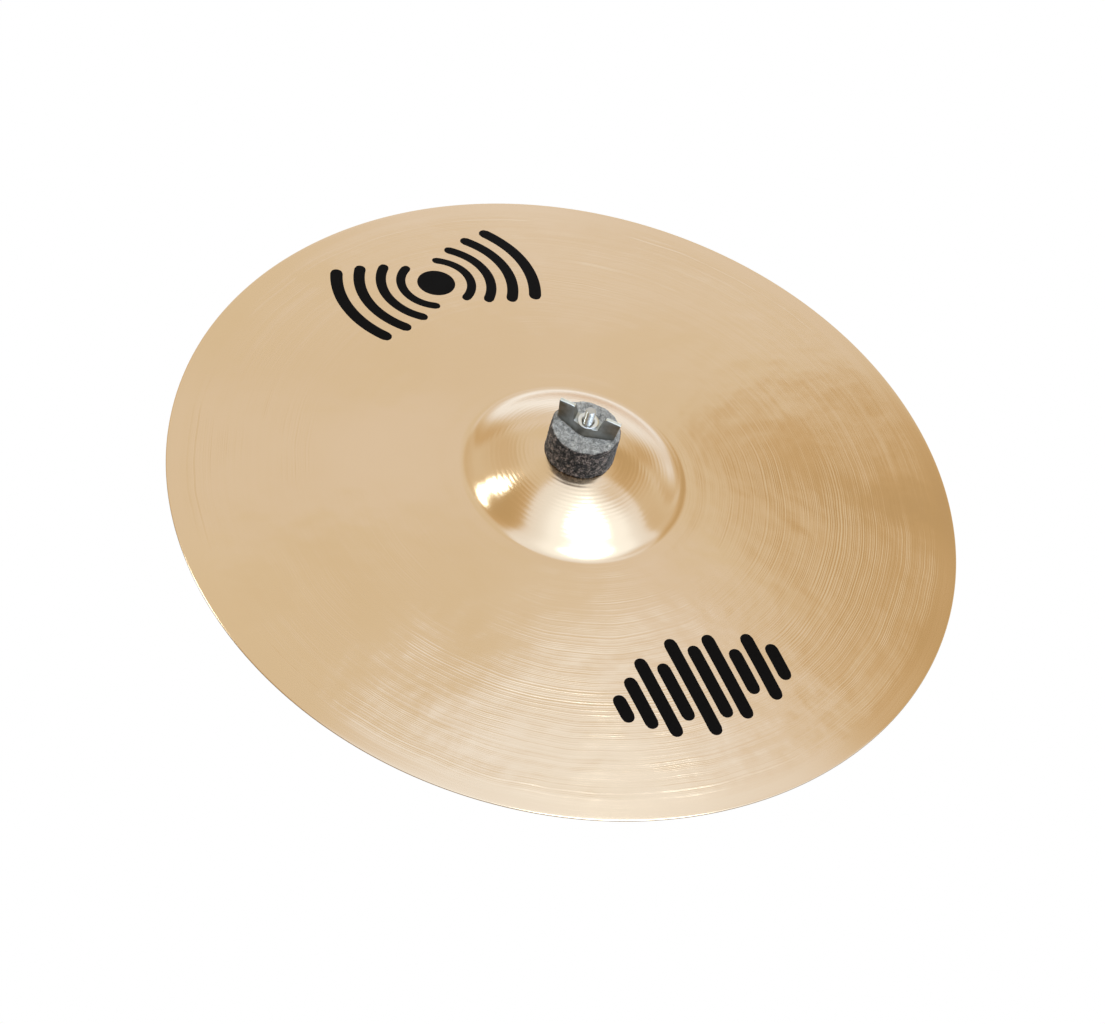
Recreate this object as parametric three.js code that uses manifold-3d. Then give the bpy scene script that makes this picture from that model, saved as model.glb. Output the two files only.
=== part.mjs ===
// A crash cymbal of 18 inches, clamped between felts on the rod of a stand's tilter.
// Millimetres, +Z up. The origin is the centre of the stem's flat lower end, where a stand holds the object.
import * as THREE from "three";
import { mergeVertices } from "three/addons/utils/BufferGeometryUtils.js";
import Module from "manifold-3d";

const wasm = await Module();
wasm.setup();

// ---- driving dimensions ----
const GAP = 0.3; // left between neighbouring pieces
const BORE_REACH = 20; // half length of a cutting cylinder, longer than any piece it crosses

const CYMBAL = {
  rimRadius: 228.6,
  holeRadius: 6.35,
  rimThickness: 0.85,
  bowThickness: 1.05,
  bellThickness: 1.3,
  domeRadius: 100, // sphere of the bell
  domeApex: 47.2, // of that sphere, above the rim's lower edge
  domeEnd: 55, // radius where the bell turns into the bow
  bowStart: 66,
  bowRadius: 1400,
  bowStartSlope: THREE.MathUtils.degToRad(5.3),
};
const ROD = { threadRadius: 3, shankRadius: 4, socketDepth: 11.7, chamfer: 0.45, aboveNut: 8.5 };
const SLEEVE = { radius: 4.8, flangeRadius: 10, flange: 1.2, length: 29 };
const FELT = {
  radius: 20, lowerRadius: 18.8, holeRadius: 5.3, upperHeight: 19.3, lowerHeight: 11.2, edge: 1.5,
};
const SEAT = { radius: 19.2, lip: 1.3, lipHeight: 4.5, floor: 1.5 };
const SEAT_NUT = { acrossFlats: 13, height: 6.5 };
const NUT = {
  baseHalfLength: 17.2, endHalfWidth: 1.5, // of the lozenge at the base
  shoulder: 3, shoulderHalfWidth: 7.5, middleHalfWidth: 9.1,
  height: 12.8, tipHalfLength: 18.8, tipHalfWidth: 1.25, // of the wings' upper edges
  hubRadius: 5.65, hubHeight: 5.5, hubEdge: 0.6,
  notchTop: 8.8, notchFoot: 7.4, notchBelowHub: 0.4,
  turn: THREE.MathUtils.degToRad(-10),
};
const STEM = { radius: 6.35, exposed: 48, socket: 20, chamfer: 1 };
const BASE = {
  bossRadius: 10.5, blockHalf: 11.3, earRadius: 12, earInner: 5.8, earOuter: 11.3, headRoom: 14.5,
};
const HEAD = { tongueRadius: 12, tongueHalf: 4, neckHalf: 7, bossRadius: 8, bossStart: 15, bossEnd: 28 };
const BOLT = { radius: 3, headFlats: 10, headHeight: 4, reach: 27 };
const DISC = { bore: 3.6, radius: 11.5 };
const PIVOT_WASHER = { bore: 3.4, radius: 7, thickness: 1.2 };
const SPRING_WASHER = { bore: 3.4, radius: 5.8, thickness: 1.5, split: 0.8, splitTilt: 0.5 };
const PIN = { radius: 1.5, bore: 1.8, chamfer: 0.3, sunk: 0.4, fromBossEnd: 6, fromStemSocket: 10 };

// ---- heights, from the stem's end upwards ----
const pivotZ = 94;
const rimZ = pivotZ + 15;
const holeTopZ = rimZ + topAt(CYMBAL.holeRadius);
const bellUnderZ = holeTopZ - CYMBAL.bellThickness;
const lowerFeltZ = bellUnderZ - GAP - FELT.lowerHeight;
const sleeveZ = lowerFeltZ - GAP - SLEEVE.flange;
const seatZ = sleeveZ - GAP - SEAT.floor;
const seatNutZ = seatZ - GAP - SEAT_NUT.height;
const upperFeltTopZ = holeTopZ + GAP + FELT.upperHeight;
const wingNutZ = upperFeltTopZ + GAP;
const rodTipZ = wingNutZ + NUT.hubHeight + ROD.aboveNut;
const rodPinZ = pivotZ + HEAD.bossEnd - PIN.fromBossEnd;
const stemPinZ = STEM.exposed + PIN.fromStemSocket;

// ---- the stack outside the fork's rear ear, along +Y ----
const springWasherY = BASE.earOuter + GAP;
const pivotWasherY = springWasherY + SPRING_WASHER.thickness + GAP;
const pivotNutY = pivotWasherY + PIVOT_WASHER.thickness + GAP;

// ---- shapes ----

// Turns a closed profile of [radius, height] points round the Z axis.
function turned(profile, segments = 48) {
  const points = profile.map(([r, z]) => new THREE.Vector2(r, z));
  if (THREE.ShapeUtils.area(points) < 0) points.reverse();
  const onAxis = points.filter((p) => p.x === 0);
  if (onAxis.length === 0) {
    points.push(points[0].clone());
  } else {
    while (points[0].x !== 0 || points[points.length - 1].x !== 0) points.push(points.shift());
  }
  return new THREE.LatheGeometry(points, segments).rotateX(Math.PI / 2);
}

function cylinder(radius, z0, z1, segments = 32, chamfer = 0) {
  const edge = chamfer
    ? [[radius - chamfer, z0], [radius, z0 + chamfer], [radius, z1 - chamfer], [radius - chamfer, z1]]
    : [[radius, z0], [radius, z1]];
  return turned([[0, z0], ...edge, [0, z1]], segments);
}

const ring = (inner, outer, z0, z1, segments = 40) =>
  turned([[inner, z0], [outer, z0], [outer, z1], [inner, z1]], segments);

const block = (x, y, z0, z1) => new THREE.BoxGeometry(2 * x, 2 * y, z1 - z0).translate(0, 0, (z0 + z1) / 2);

function hexPrism(acrossFlats, z0, z1) {
  const g = new THREE.CylinderGeometry(acrossFlats / Math.sqrt(3), acrossFlats / Math.sqrt(3), z1 - z0, 6);
  return g.rotateX(Math.PI / 2).translate(0, 0, (z0 + z1) / 2);
}

// Lays a shape made along Z down along Y, with its height measured from the pivot's line.
const acrossPivot = (geometry) => geometry.rotateX(-Math.PI / 2).translate(0, 0, pivotZ);
const alongX = (geometry, z) => geometry.rotateY(Math.PI / 2).translate(0, 0, z);

// ---- booleans ----
function solid(geometry) {
  const source = geometry.index ? geometry.toNonIndexed() : geometry;
  const bare = new THREE.BufferGeometry().setAttribute("position", source.getAttribute("position"));
  const merged = mergeVertices(bare, 1e-4);
  return new wasm.Manifold(new wasm.Mesh({
    numProp: 3,
    vertProperties: merged.attributes.position.array,
    triVerts: new Uint32Array(merged.index.array),
  }));
}

function carve(adds, cuts) {
  const whole = adds.map(solid).reduce((a, b) => a.add(b));
  const left = cuts.map(solid).reduce((a, b) => a.subtract(b), whole);
  const mesh = left.getMesh();
  return new THREE.BufferGeometry()
    .setAttribute("position", new THREE.BufferAttribute(mesh.vertProperties, 3))
    .setIndex(new THREE.BufferAttribute(mesh.triVerts, 1));
}

// ---- the cymbal's section ----

// Height of the cymbal's upper surface above the rim's lower edge, at radius r.
function topAt(r) {
  const c = CYMBAL;
  const bowCentre = c.bowStart - c.bowRadius * Math.sin(c.bowStartSlope);
  const bow = (x) => {
    const drop = (y) => Math.sqrt(c.bowRadius ** 2 - (y - bowCentre) ** 2);
    return c.rimThickness + drop(x) - drop(c.rimRadius);
  };
  const dome = (x) => c.domeApex - c.domeRadius + Math.sqrt(c.domeRadius ** 2 - x ** 2);
  if (r <= c.domeEnd) return dome(r);
  if (r >= c.bowStart) return bow(r);
  const span = c.bowStart - c.domeEnd;
  const t = (r - c.domeEnd) / span;
  const startSlope = -c.domeEnd / Math.sqrt(c.domeRadius ** 2 - c.domeEnd ** 2);
  const endSlope = -Math.tan(c.bowStartSlope);
  const h00 = 2 * t ** 3 - 3 * t ** 2 + 1;
  const h10 = t ** 3 - 2 * t ** 2 + t;
  const h01 = 3 * t ** 2 - 2 * t ** 3;
  const h11 = t ** 3 - t ** 2;
  return h00 * dome(c.domeEnd) + h10 * span * startSlope + h01 * bow(c.bowStart) + h11 * span * endSlope;
}

function thicknessAt(r) {
  const c = CYMBAL;
  const mix = THREE.MathUtils.smoothstep(r, c.domeEnd, c.bowStart);
  const bow = THREE.MathUtils.mapLinear(r, c.bowStart, c.rimRadius, c.bowThickness, c.rimThickness);
  return THREE.MathUtils.lerp(c.bellThickness, bow, mix);
}

function evenly(from, to, steps) {
  return Array.from({ length: steps + 1 }, (_, i) => from + ((to - from) * i) / steps);
}

function cymbalBody() {
  const c = CYMBAL;
  const radii = [...evenly(c.holeRadius, c.domeEnd, 5), ...evenly(c.domeEnd, c.bowStart, 3).slice(1),
    ...evenly(c.bowStart, c.rimRadius, 6).slice(1)];
  const top = radii.map((r) => [r, rimZ + topAt(r)]);
  const under = radii.map((r) => [r, rimZ + topAt(r) - thicknessAt(r)]).reverse();
  return turned([...top, ...under], 60);
}

// ---- felts, sleeve, seat ----
function upperFelt() {
  const f = FELT;
  const under = evenly(f.holeRadius, f.radius, 3).map((r) => [r, rimZ + topAt(r) + GAP]);
  const corner = 0.3 * f.edge;
  const edge = [[f.radius, upperFeltTopZ - f.edge], [f.radius - corner, upperFeltTopZ - corner],
    [f.radius - f.edge, upperFeltTopZ]];
  return turned([...under, ...edge, [f.holeRadius, upperFeltTopZ]], 40);
}

function lowerFelt() {
  const f = FELT;
  const over = evenly(f.holeRadius, f.lowerRadius, 3)
    .map((r) => [r, rimZ + topAt(r) - CYMBAL.bellThickness - GAP]).reverse();
  return turned([[f.holeRadius, lowerFeltZ], [f.lowerRadius, lowerFeltZ], ...over], 40);
}

function sleeve() {
  const s = SLEEVE;
  const bore = ROD.threadRadius + GAP;
  return turned([[bore, sleeveZ], [s.flangeRadius, sleeveZ], [s.flangeRadius, sleeveZ + s.flange],
    [s.radius, sleeveZ + s.flange], [s.radius, sleeveZ + s.length], [bore, sleeveZ + s.length]], 32);
}

function seatWasher() {
  const s = SEAT;
  const outer = s.radius + s.lip;
  const bore = ROD.threadRadius + GAP;
  return turned([[bore, seatZ], [outer - s.floor, seatZ], [outer, seatZ + s.floor],
    [outer, seatZ + s.lipHeight], [s.radius, seatZ + s.lipHeight], [s.radius, seatZ + s.floor],
    [bore, seatZ + s.floor]], 40);
}

// ---- rod and nuts ----
function cymbalRod() {
  const bottom = pivotZ + HEAD.bossEnd - ROD.socketDepth;
  const shoulder = seatZ - GAP / 2;
  const rod = turned([[0, bottom], [ROD.shankRadius, bottom], [ROD.shankRadius, shoulder],
    [ROD.threadRadius, shoulder], [ROD.threadRadius, rodTipZ - ROD.chamfer],
    [ROD.threadRadius - ROD.chamfer, rodTipZ], [0, rodTipZ]], 32);
  return carve([rod], [pinHole(rodPinZ)]);
}

function seatNut() {
  const z0 = seatNutZ;
  const z1 = seatNutZ + SEAT_NUT.height;
  return carve([hexPrism(SEAT_NUT.acrossFlats, z0, z1)], [cylinder(ROD.shankRadius + GAP, z0 - 1, z1 + 1)]);
}

// A cast wing nut that stands on z = 0: a lozenge at the base, drawn up into two thin wings.
function wingNut() {
  const n = NUT;
  const plan = new THREE.Shape();
  plan.moveTo(n.baseHalfLength, -n.endHalfWidth);
  plan.lineTo(n.baseHalfLength, n.endHalfWidth);
  plan.lineTo(n.shoulder, n.shoulderHalfWidth);
  plan.quadraticCurveTo(0, n.middleHalfWidth, -n.shoulder, n.shoulderHalfWidth);
  plan.lineTo(-n.baseHalfLength, n.endHalfWidth);
  plan.lineTo(-n.baseHalfLength, -n.endHalfWidth);
  plan.lineTo(-n.shoulder, -n.shoulderHalfWidth);
  plan.quadraticCurveTo(0, -n.middleHalfWidth, n.shoulder, -n.shoulderHalfWidth);
  plan.closePath();
  const body = new THREE.ExtrudeGeometry(plan, { depth: n.height, bevelEnabled: false, curveSegments: 4 });
  const at = body.getAttribute("position");
  const flare = n.tipHalfLength / n.baseHalfLength;
  for (let i = 0; i < at.count; i++) {
    const rise = at.getZ(i) / n.height;
    const halfWidth = THREE.MathUtils.lerp(Math.abs(at.getY(i)), n.tipHalfWidth, rise);
    at.setY(i, Math.sign(at.getY(i)) * halfWidth);
    at.setX(i, at.getX(i) * THREE.MathUtils.lerp(1, flare, rise));
  }
  const floor = n.hubHeight - n.notchBelowHub;
  const notch = new THREE.Shape([[-n.notchTop, n.height + 1], [-n.notchFoot, floor],
    [n.notchFoot, floor], [n.notchTop, n.height + 1]].map(([x, z]) => new THREE.Vector2(x, z)));
  const slot = new THREE.ExtrudeGeometry(notch, { depth: 2 * BORE_REACH, bevelEnabled: false })
    .rotateX(Math.PI / 2).translate(0, BORE_REACH, 0);
  const hub = turned([[0, 0], [n.hubRadius, 0], [n.hubRadius, n.hubHeight - n.hubEdge],
    [n.hubRadius - n.hubEdge, n.hubHeight], [0, n.hubHeight]], 32);
  return carve([carve([body], [slot]), hub], [cylinder(ROD.threadRadius + GAP, -1, n.height + 1)]);
}

// ---- tilter ----
function tilterBase() {
  const b = BASE;
  const edge = 1;
  const blockTop = pivotZ - b.headRoom;
  const socketTop = STEM.exposed + STEM.socket;
  const bossTop = socketTop + 4 * edge;
  const boss = turned([
    [0, STEM.exposed], [b.bossRadius - edge, STEM.exposed], [b.bossRadius, STEM.exposed + edge],
    [b.bossRadius, bossTop], [0, bossTop],
  ], 36);
  const adds = [boss, block(b.earRadius, b.blockHalf, socketTop + edge, blockTop)];
  const half = (b.earOuter - b.earInner) / 2;
  for (const side of [-1, 1]) {
    const middle = side * (b.earInner + half);
    adds.push(block(b.earRadius, half, blockTop - edge, pivotZ).translate(0, middle, 0));
    adds.push(acrossPivot(cylinder(b.earRadius, -half, half, 40)).translate(0, middle, 0));
  }
  const socket = cylinder(STEM.radius + GAP, STEM.exposed - edge, socketTop, 36);
  return carve(adds, [pivotHole(), socket, pinHole(stemPinZ)]);
}

function stem() {
  const top = STEM.exposed + STEM.socket - GAP;
  return carve([cylinder(STEM.radius, 0, top, 36, STEM.chamfer)], [pinHole(stemPinZ)]);
}

function tilterHead() {
  const h = HEAD;
  const edge = 1;
  const start = pivotZ + h.bossStart;
  const end = pivotZ + h.bossEnd;
  const boss = turned([[0, start], [h.bossRadius - edge, start], [h.bossRadius, start + edge],
    [h.bossRadius, end - edge], [h.bossRadius - edge, end], [0, end]], 36);
  const tongue = acrossPivot(cylinder(h.tongueRadius, -h.tongueHalf, h.tongueHalf, 40));
  const neck = block(h.neckHalf, h.tongueHalf, pivotZ, start + edge);
  const socket = cylinder(ROD.shankRadius + GAP, end - ROD.socketDepth - GAP, end + edge);
  return carve([boss, tongue, neck], [pivotHole(), socket, pinHole(rodPinZ)]);
}

function pivotBolt() {
  const seat = -BASE.earOuter - GAP;
  const shank = cylinder(BOLT.radius, seat - 1, BOLT.reach, 32, 0.5);
  return acrossPivot(carve([shank, hexPrism(BOLT.headFlats, seat - BOLT.headHeight, seat)], []));
}

// One friction disc fills the room between the tongue and an ear.
function frictionDisc(side) {
  const faces = [HEAD.tongueHalf + GAP, BASE.earInner - GAP].map((y) => y * side).sort((a, b) => a - b);
  return acrossPivot(ring(DISC.bore, DISC.radius, ...faces));
}

function springWasher() {
  const w = SPRING_WASHER;
  const washer = ring(w.bore, w.radius, springWasherY, springWasherY + w.thickness);
  const split = new THREE.BoxGeometry(2 * (w.radius - w.bore), w.split, 3 * w.thickness)
    .rotateX(w.splitTilt)
    .translate((w.bore + w.radius) / 2, 0, springWasherY + w.thickness / 2);
  return acrossPivot(carve([washer], [split]));
}

const pivotWasher = () => acrossPivot(
  ring(PIVOT_WASHER.bore, PIVOT_WASHER.radius, pivotWasherY, pivotWasherY + PIVOT_WASHER.thickness, 32));

const crossPin = (bossRadius, z) =>
  alongX(cylinder(PIN.radius, PIN.sunk - bossRadius, bossRadius - PIN.sunk, 20, PIN.chamfer), z);
const pinHole = (z) => alongX(cylinder(PIN.bore, -BORE_REACH, BORE_REACH, 20), z);
const pivotHole = () => acrossPivot(cylinder(BOLT.radius + GAP, -BORE_REACH, BORE_REACH));

// ---- finishes ----
const finish = (color, roughness, metalness) => new THREE.MeshStandardMaterial({ color, roughness, metalness });
const bronze = finish(0xd9b47c, 0.22, 1);
const felt = finish(0x4a4744, 1, 0);
const nickel = finish(0xb9b8b4, 0.3, 1);
const steel = finish(0xc4c6c8, 0.25, 1);
const casting = finish(0x9a9c9e, 0.4, 1);
const nylon = finish(0x1b1b1c, 0.5, 0);
const fibre = finish(0x6b3b22, 0.8, 0);

// ---- assembly ----
const part = new THREE.Group();

function place(name, geometry, material) {
  const mesh = new THREE.Mesh(geometry, material);
  mesh.name = name;
  part.add(mesh);
  return mesh;
}

place("cymbal", cymbalBody(), bronze);
place("upper_felt", upperFelt(), felt);
place("lower_felt", lowerFelt(), felt);
place("sleeve", sleeve(), nylon);
place("seat_washer", seatWasher(), steel);
place("seat_nut", seatNut(), steel);
place("cymbal_rod", cymbalRod(), steel);
const topNut = place("wing_nut", wingNut(), nickel);
topNut.position.z = wingNutZ;
topNut.rotation.z = NUT.turn;
place("tilter_head", tilterHead(), casting);
place("rod_pin", crossPin(HEAD.bossRadius, rodPinZ), steel);
place("tilter_base", tilterBase(), casting);
place("stem", stem(), steel);
place("stem_pin", crossPin(BASE.bossRadius, stemPinZ), steel);
place("pivot_bolt", pivotBolt(), steel);
place("friction_disc_front", frictionDisc(-1), fibre);
place("friction_disc_rear", frictionDisc(1), fibre);
place("spring_washer", springWasher(), steel);
place("pivot_washer", pivotWasher(), steel);
const sideNut = place("pivot_wing_nut", wingNut(), nickel);
sideNut.rotation.x = -Math.PI / 2;
sideNut.position.set(0, pivotNutY, pivotZ);

export default part;
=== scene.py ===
"""An 18 inch crash cymbal on a stand's tilter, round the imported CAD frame.

Lengths are millimetres until a mesh is made. The floor, the lamps and the camera's distance are in metres.
"""
import math

import bmesh
import bpy
import numpy as np
from mathutils import Matrix, Vector


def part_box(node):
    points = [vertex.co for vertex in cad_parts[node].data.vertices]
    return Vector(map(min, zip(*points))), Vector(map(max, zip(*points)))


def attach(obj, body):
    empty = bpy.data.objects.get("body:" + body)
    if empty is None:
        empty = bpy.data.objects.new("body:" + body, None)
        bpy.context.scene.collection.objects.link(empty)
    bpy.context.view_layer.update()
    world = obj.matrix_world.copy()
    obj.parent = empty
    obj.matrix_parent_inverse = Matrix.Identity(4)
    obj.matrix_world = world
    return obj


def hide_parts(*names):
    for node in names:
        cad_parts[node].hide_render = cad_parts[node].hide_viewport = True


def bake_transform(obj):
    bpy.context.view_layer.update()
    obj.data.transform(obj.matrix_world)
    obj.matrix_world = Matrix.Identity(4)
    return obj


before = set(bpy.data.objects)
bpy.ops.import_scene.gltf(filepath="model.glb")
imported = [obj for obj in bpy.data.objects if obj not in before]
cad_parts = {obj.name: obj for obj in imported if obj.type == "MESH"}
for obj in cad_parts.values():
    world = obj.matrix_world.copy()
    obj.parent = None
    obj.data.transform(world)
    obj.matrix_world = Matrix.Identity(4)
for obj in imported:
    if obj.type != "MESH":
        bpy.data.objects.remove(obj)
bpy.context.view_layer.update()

MM = 0.001
rng = np.random.default_rng(18)

# ---------------------------------------------------------------- the cymbal's section, as the CAD has it
RIM_RADIUS = 228.6
HOLE_RADIUS = 6.35
RIM_THICKNESS = 0.85
BOW_THICKNESS = 1.05
BELL_THICKNESS = 1.3
DOME_RADIUS = 100.0
DOME_APEX = 47.2
DOME_END = 55.0
BOW_START = 66.0
BOW_RADIUS = 1400.0
BOW_SLOPE = math.radians(5.3)


def box_mm(node):
    low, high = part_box(node)
    return Vector(low) / MM, Vector(high) / MM


rim_z = box_mm("cymbal")[0].z


def smooth(t):
    t = np.clip(t, 0, 1)
    return t * t * (3 - 2 * t)


def section_top(r):
    """Height of the plain upper surface above the rim's lower edge."""
    r = np.asarray(r, float)
    bow_centre = BOW_START - BOW_RADIUS * math.sin(BOW_SLOPE)

    def drop(x):
        return np.sqrt(BOW_RADIUS**2 - (x - bow_centre) ** 2)

    def bow(x):
        return RIM_THICKNESS + drop(x) - drop(RIM_RADIUS)

    dome_root = math.sqrt(DOME_RADIUS**2 - DOME_END**2)
    dome = DOME_APEX - DOME_RADIUS + np.sqrt(DOME_RADIUS**2 - np.minimum(r, DOME_END) ** 2)
    span = BOW_START - DOME_END
    t = (r - DOME_END) / span
    fillet = (
        (2 * t**3 - 3 * t**2 + 1) * (DOME_APEX - DOME_RADIUS + dome_root)
        + (t**3 - 2 * t**2 + t) * span * (-DOME_END / dome_root)
        + (3 * t**2 - 2 * t**3) * bow(BOW_START)
        + (t**3 - t**2) * span * -math.tan(BOW_SLOPE)
    )
    return np.where(r <= DOME_END, dome, np.where(r >= BOW_START, bow(r), fillet))


def section_thickness(r):
    mix = smooth((r - DOME_END) / (BOW_START - DOME_END))
    bow = BOW_THICKNESS + (RIM_THICKNESS - BOW_THICKNESS) * (r - BOW_START) / (RIM_RADIUS - BOW_START)
    return BELL_THICKNESS + (bow - BELL_THICKNESS) * mix


# Hammer marks: shallow dents in loose rings over the bow, over a slow unevenness of the whole plate.
FIRST_DENTS = BOW_START + 8
LAST_DENTS = RIM_RADIUS - 20
DENT_RING_STEP = 13.0
DENT_STEP = 17.0
DENT_STRAY = 4.0
DENT_STRAY_ROUND = 0.3
DENT_SIGMA = (4.2, 7.0)
DENT_DEPTH = (0.05, 0.16)
WAVES = 9
WAVE_LENGTH = (55.0, 120.0)
WAVE_HEIGHT = 0.06


def make_dents():
    dents = []
    ring = FIRST_DENTS
    while ring < LAST_DENTS:
        count = int(2 * math.pi * ring / DENT_STEP)
        start = rng.uniform(0, 2 * math.pi)
        for i in range(count):
            angle = start + 2 * math.pi * (i + rng.uniform(-DENT_STRAY_ROUND, DENT_STRAY_ROUND)) / count
            r = ring + rng.uniform(-DENT_STRAY, DENT_STRAY)
            sigma = rng.uniform(*DENT_SIGMA)
            depth = rng.uniform(*DENT_DEPTH)
            dents.append((r * math.cos(angle), r * math.sin(angle), sigma, depth))
        ring += DENT_RING_STEP
    return np.array(dents)


DENTS = make_dents()
WAVE_ANGLE = rng.uniform(0, 2 * math.pi, WAVES)
WAVE_NUMBER = 2 * math.pi / rng.uniform(*WAVE_LENGTH, WAVES)
WAVE_PHASE = rng.uniform(0, 2 * math.pi, WAVES)


def unevenness(x, y):
    """How far the hammered plate stands off its plain section, for arrays of x and y."""
    shape = np.shape(x)
    x, y = np.ravel(x), np.ravel(y)
    r = np.hypot(x, y)
    out = np.zeros_like(x)
    for angle, number, phase in zip(WAVE_ANGLE, WAVE_NUMBER, WAVE_PHASE):
        out += WAVE_HEIGHT * np.sin(number * (x * math.cos(angle) + y * math.sin(angle)) + phase)
    for dx, dy, sigma, depth in DENTS:
        near = np.abs(x - dx) < 3 * sigma
        d2 = (x[near] - dx) ** 2 + (y[near] - dy) ** 2
        out[near] -= depth * np.exp(-d2 / (2 * sigma**2))
    fade = smooth((r - BOW_START) / 15) * smooth((RIM_RADIUS - 3 - r) / 20)
    return (out * fade).reshape(shape)


BELL_GROOVE_PITCH = 2.3
BELL_GROOVE_DEPTH = 0.018
BELL_GROOVES_START = 21.0


def bell_grooves(r):
    fade = smooth((r - BELL_GROOVES_START) / 4) * smooth((DOME_END - r) / 6)
    wander = 0.8 * np.sin(r / 3.1) + 0.5 * np.sin(r / 1.7 + 1)
    return BELL_GROOVE_DEPTH * fade * np.sin(2 * math.pi * r / BELL_GROOVE_PITCH + wander)


def surface_top(x, y):
    r = np.hypot(x, y)
    return rim_z + section_top(r) + bell_grooves(r) + unevenness(x, y)


# ---------------------------------------------------------------- meshes
def new_object(name, vertices, faces, material=None):
    """vertices in millimetres."""
    mesh = bpy.data.meshes.new(name)
    mesh.from_pydata([tuple(v) for v in np.asarray(vertices, float) * MM], [], faces)
    mesh.validate()
    mesh.polygons.foreach_set("use_smooth", [True] * len(mesh.polygons))
    obj = bpy.data.objects.new(name, mesh)
    bpy.context.scene.collection.objects.link(obj)
    if material:
        mesh.materials.append(material)
    return obj


def ring_faces(rings, segments, closed_loop, first_pole=None, last_pole=None):
    """Faces between successive rings of vertices; closed_loop joins the last ring to the first."""
    faces = []
    for i in range(rings if closed_loop else rings - 1):
        a, b = i * segments, ((i + 1) % rings) * segments
        for j in range(segments):
            k = (j + 1) % segments
            faces.append((a + j, a + k, b + k, b + j))
    if first_pole is not None:
        faces += [(first_pole, (j + 1) % segments, j) for j in range(segments)]
    if last_pole is not None:
        a = (rings - 1) * segments
        faces += [(last_pole, a + j, a + (j + 1) % segments) for j in range(segments)]
    return faces


def lathe(name, profile, segments, material=None, sharp=32):
    """Turns a profile of (r, z) about z. It is closed on itself, or starts and ends on the axis."""
    poles = profile[0][0] == 0 and profile[-1][0] == 0
    inner = profile[1:-1] if poles else profile
    angles = np.linspace(0, 2 * math.pi, segments, endpoint=False)
    vertices = [(r * math.cos(a), r * math.sin(a), z) for r, z in inner for a in angles]
    first = last = None
    if poles:
        first, last = len(vertices), len(vertices) + 1
        vertices += [(0, 0, profile[0][1]), (0, 0, profile[-1][1])]
    faces = ring_faces(len(inner), segments, not poles, first, last)
    obj = new_object(name, vertices, faces, material)
    face_outwards(obj)
    obj.data.set_sharp_from_angle(angle=math.radians(sharp))
    return obj


def face_outwards(obj):
    bm = bmesh.new()
    bm.from_mesh(obj.data)
    bmesh.ops.recalc_face_normals(bm, faces=bm.faces)
    bm.to_mesh(obj.data)
    bm.free()


# ---------------------------------------------------------------- node helpers
def new_material(name):
    material = bpy.data.materials.new(name)
    material.use_nodes = True
    tree = material.node_tree
    return material, tree, tree.nodes["Principled BSDF"]


def node(tree, kind, **settings):
    made = tree.nodes.new(kind)
    for key, value in settings.items():
        setattr(made, key, value)
    return made


def feed(tree, socket, value):
    if isinstance(value, bpy.types.NodeSocket):
        tree.links.new(value, socket)
    else:
        socket.default_value = value


def math_node(tree, operation, *inputs):
    made = node(tree, "ShaderNodeMath", operation=operation)
    for socket, value in zip(made.inputs, inputs):
        feed(tree, socket, value)
    return made.outputs[0]


def times(tree, first, *others):
    for other in others:
        first = math_node(tree, "MULTIPLY", first, other)
    return first


def plus(tree, first, *others):
    for other in others:
        first = math_node(tree, "ADD", first, other)
    return first


def map_range(tree, value, low, high, out_low=0.0, out_high=1.0, kind="SMOOTHSTEP"):
    made = node(tree, "ShaderNodeMapRange", interpolation_type=kind)
    for socket, v in zip(made.inputs, (value, low, high, out_low, out_high)):
        feed(tree, socket, v)
    return made.outputs[0]


def noise_texture(tree, scale, detail, roughness, vector=None, w=None, dimensions="3D"):
    made = node(tree, "ShaderNodeTexNoise", noise_dimensions=dimensions)
    made.inputs["Scale"].default_value = scale
    made.inputs["Detail"].default_value = detail
    made.inputs["Roughness"].default_value = roughness
    if vector is not None:
        tree.links.new(vector, made.inputs["Vector"])
    if w is not None:
        tree.links.new(w, made.inputs["W"])
    return made.outputs[0]


def colour_ramp(tree, value, stops):
    made = node(tree, "ShaderNodeValToRGB")
    ramp = made.color_ramp
    while len(ramp.elements) < len(stops):
        ramp.elements.new(0.5)
    for element, (position, colour) in zip(ramp.elements, stops):
        element.position = position
        element.color = (*colour, 1)
    feed(tree, made.inputs[0], value)
    return made.outputs[0]


def object_coordinates(tree):
    return node(tree, "ShaderNodeTexCoord").outputs["Object"]


def bump(tree, height, distance):
    made = node(tree, "ShaderNodeBump")
    made.inputs["Strength"].default_value = 1.0
    made.inputs["Distance"].default_value = distance
    tree.links.new(height, made.inputs["Height"])
    return made.outputs[0]


def colour_mix(tree, factor, a, b):
    made = node(tree, "ShaderNodeMix", data_type="RGBA")
    for socket, value in (("Factor", factor), ("A", a), ("B", b)):
        feed(tree, made.inputs[socket], value)
    return made.outputs["Result"]


def plan_radius(tree):
    """Distance from the cymbal's axis, in millimetres, and the height, in metres."""
    split = node(tree, "ShaderNodeSeparateXYZ")
    tree.links.new(object_coordinates(tree), split.inputs[0])
    x, y, z = split.outputs
    r = math_node(tree, "SQRT", plus(tree, times(tree, x, x), times(tree, y, y)))
    return times(tree, r, 1 / MM), z


# ---------------------------------------------------------------- materials
BRONZE_DARK, BRONZE_LIGHT = (0.79, 0.583, 0.382), (0.81, 0.606, 0.408)
FINE_GROOVES = 1.05
COARSE_GROOVES = 0.21


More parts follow.
